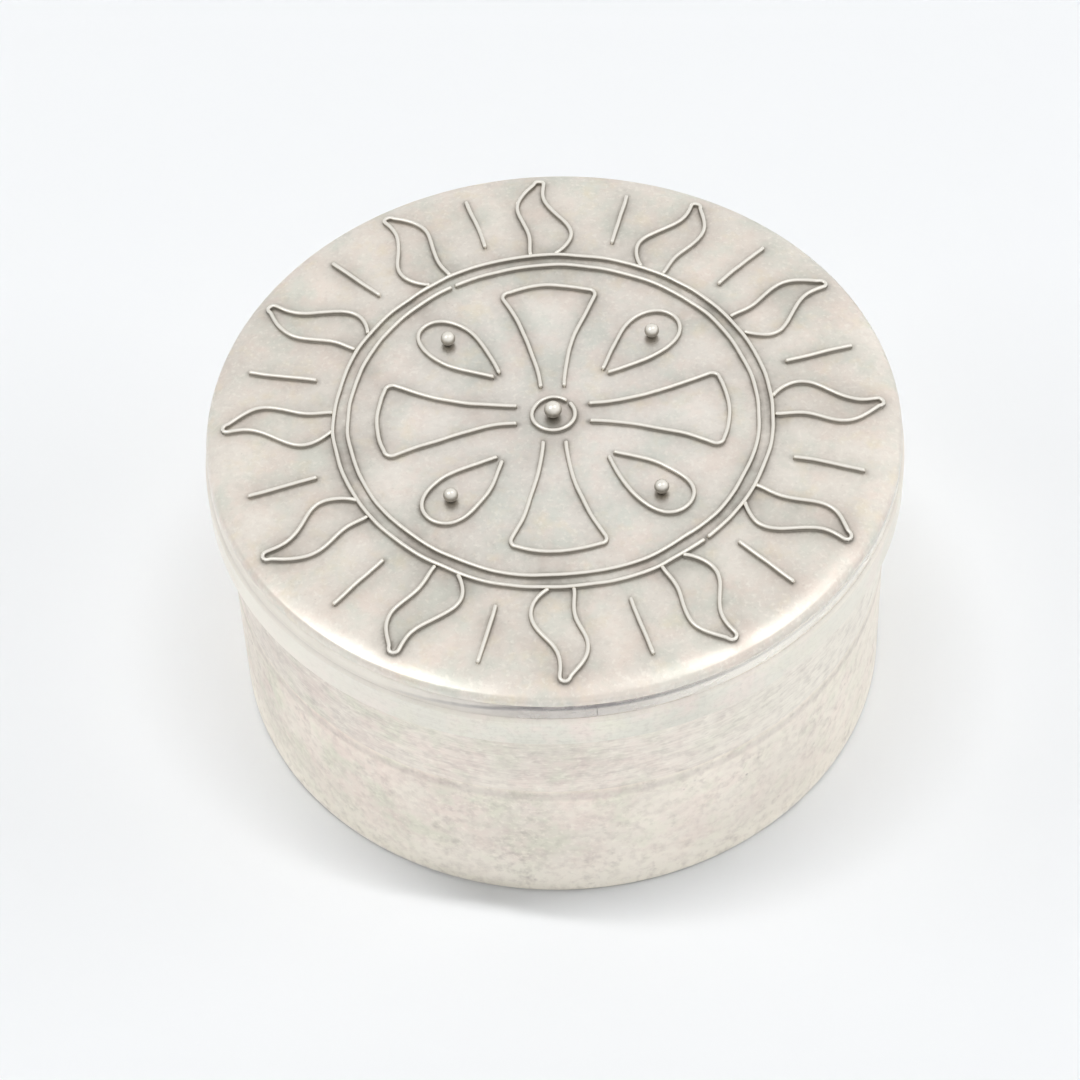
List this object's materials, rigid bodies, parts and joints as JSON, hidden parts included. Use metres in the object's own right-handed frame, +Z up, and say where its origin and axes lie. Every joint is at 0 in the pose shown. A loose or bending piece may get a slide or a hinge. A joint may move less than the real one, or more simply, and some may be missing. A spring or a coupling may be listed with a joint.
{
  "type": "holy oil box",
  "caption": "Round silver box for consecrated oil: lift-off lid with a soldered wire sunburst and cross, gilt liner and cotton wad inside.",
  "frame": {"origin": "middle of the underside, on the surface that the box stands on", "axes": "+Z up through the lid, -Y towards the front (the side with the joint of the edge strip), +X to the right"},
  "size_m": [0.0706, 0.0706, 0.0369],
  "materials": {
    "satin_silver": "satin silver, lightly tarnished",
    "brushed_silver": "silver, brushed around",
    "pitted_silver": "matt silver, finely pitted",
    "bright_silver": "polished silver",
    "wire_silver": "polished silver wire with dark tarnish at its foot",
    "gilt": "fire-gilt silver, satin",
    "cotton": "raw cotton wool"
  },
  "bodies": {
    "box": {"body_wall": "pitted_silver", "base_plate": "pitted_silver", "inner_bezel": "bright_silver"},
    "liner": {"liner": "gilt", "cotton_wad": "cotton"},
    "lid": {"lid_plate": "satin_silver", "edge_strip": "bright_silver", "lid_band": "satin_silver", "lid_skirt": "brushed_silver", "cross_wire_1": "wire_silver", "drop_wire_1": "wire_silver", "drop_grain_1": "wire_silver", "cross_wire_2": "wire_silver", "drop_wire_2": "wire_silver", "drop_grain_2": "wire_silver", "cross_wire_3": "wire_silver", "drop_wire_3": "wire_silver", "drop_grain_3": "wire_silver", "cross_wire_4": "wire_silver", "drop_wire_4": "wire_silver", "drop_grain_4": "wire_silver", "centre_ring": "wire_silver", "centre_grain": "wire_silver", "inner_circle_wire": "wire_silver", "outer_circle_wire": "wire_silver", "flame_wire_01": "wire_silver", "ray_wire_01": "wire_silver", "flame_wire_02": "wire_silver", "ray_wire_02": "wire_silver", "flame_wire_03": "wire_silver", "ray_wire_03": "wire_silver", "flame_wire_04": "wire_silver", "ray_wire_04": "wire_silver", "flame_wire_05": "wire_silver", "ray_wire_05": "wire_silver", "flame_wire_06": "wire_silver", "ray_wire_06": "wire_silver", "flame_wire_07": "wire_silver", "ray_wire_07": "wire_silver", "flame_wire_08": "wire_silver", "ray_wire_08": "wire_silver", "flame_wire_09": "wire_silver", "ray_wire_09": "wire_silver", "flame_wire_10": "wire_silver", "ray_wire_10": "wire_silver", "flame_wire_11": "wire_silver", "ray_wire_11": "wire_silver", "flame_wire_12": "wire_silver", "ray_wire_12": "wire_silver"}
  },
  "joints": [
    {"name": "liner_lift", "type": "slide", "parent": "box", "child": "liner", "axis": [0, 0, 1], "range_m": [0, 0.03]},
    {"name": "lid_lift", "type": "slide", "parent": "liner", "child": "lid", "axis": [0, 0, 1], "range_m": [0, 0.03]}
  ]
}
